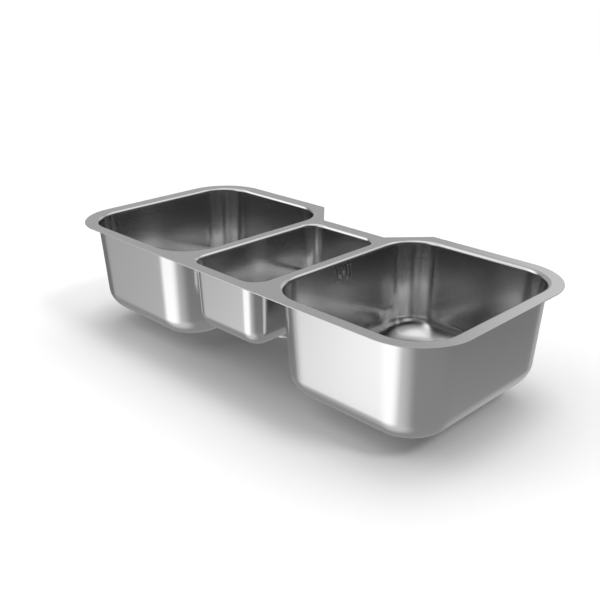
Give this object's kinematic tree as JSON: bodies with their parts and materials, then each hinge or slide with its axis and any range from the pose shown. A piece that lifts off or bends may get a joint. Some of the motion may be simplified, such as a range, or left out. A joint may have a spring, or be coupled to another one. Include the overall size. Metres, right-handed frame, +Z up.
{
  "type": "three compartment sink",
  "caption": "Undermount stainless steel sink with two deep bowls and a shallower one between them, lift-out basket strainers and an overflow.",
  "frame": {"origin": "middle of the footprint, on the plane that the two side drain cups stand on", "axes": "+X to the right-hand bowl along the sink, +Y to the rear edge with the tap notch, +Z up"},
  "size_m": [1, 0.474, 0.238],
  "materials": {
    "deck_steel": "satin brushed along the length",
    "bowl_steel": "satin brushed",
    "strainer_steel": "polished stainless steel",
    "nut_steel": "dull pressed steel",
    "black_rubber": "moulded matt rubber",
    "housing_plastic": "white, injection moulded, fine grain"
  },
  "bodies": {
    "sink": {"deck_flange": "deck_steel", "left_bowl": "bowl_steel", "middle_bowl": "bowl_steel", "right_bowl": "bowl_steel", "left_drain_gasket": "black_rubber", "left_drain_cup": "strainer_steel", "left_backing_washer": "black_rubber", "left_lock_nut": "nut_steel", "middle_drain_gasket": "black_rubber", "middle_drain_cup": "strainer_steel", "middle_backing_washer": "black_rubber", "middle_lock_nut": "nut_steel", "right_drain_gasket": "black_rubber", "right_drain_cup": "strainer_steel", "right_backing_washer": "black_rubber", "right_lock_nut": "nut_steel", "overflow_screw": "strainer_steel", "overflow_gasket": "black_rubber", "overflow_housing": "housing_plastic"},
    "left_strainer": {"left_basket": "strainer_steel", "left_stopper": "black_rubber", "left_knob": "strainer_steel"},
    "middle_strainer": {"middle_basket": "strainer_steel", "middle_stopper": "black_rubber", "middle_knob": "strainer_steel"},
    "right_strainer": {"right_basket": "strainer_steel", "right_stopper": "black_rubber", "right_knob": "strainer_steel"}
  },
  "joints": [
    {"name": "left_basket_lift", "type": "slide", "parent": "sink", "child": "left_strainer", "axis": [0, 0, 1], "range_m": [0, 0.034]},
    {"name": "middle_basket_lift", "type": "slide", "parent": "sink", "child": "middle_strainer", "axis": [0, 0, 1], "range_m": [0, 0.034]},
    {"name": "right_basket_lift", "type": "slide", "parent": "sink", "child": "right_strainer", "axis": [0, 0, 1], "range_m": [0, 0.034]}
  ]
}
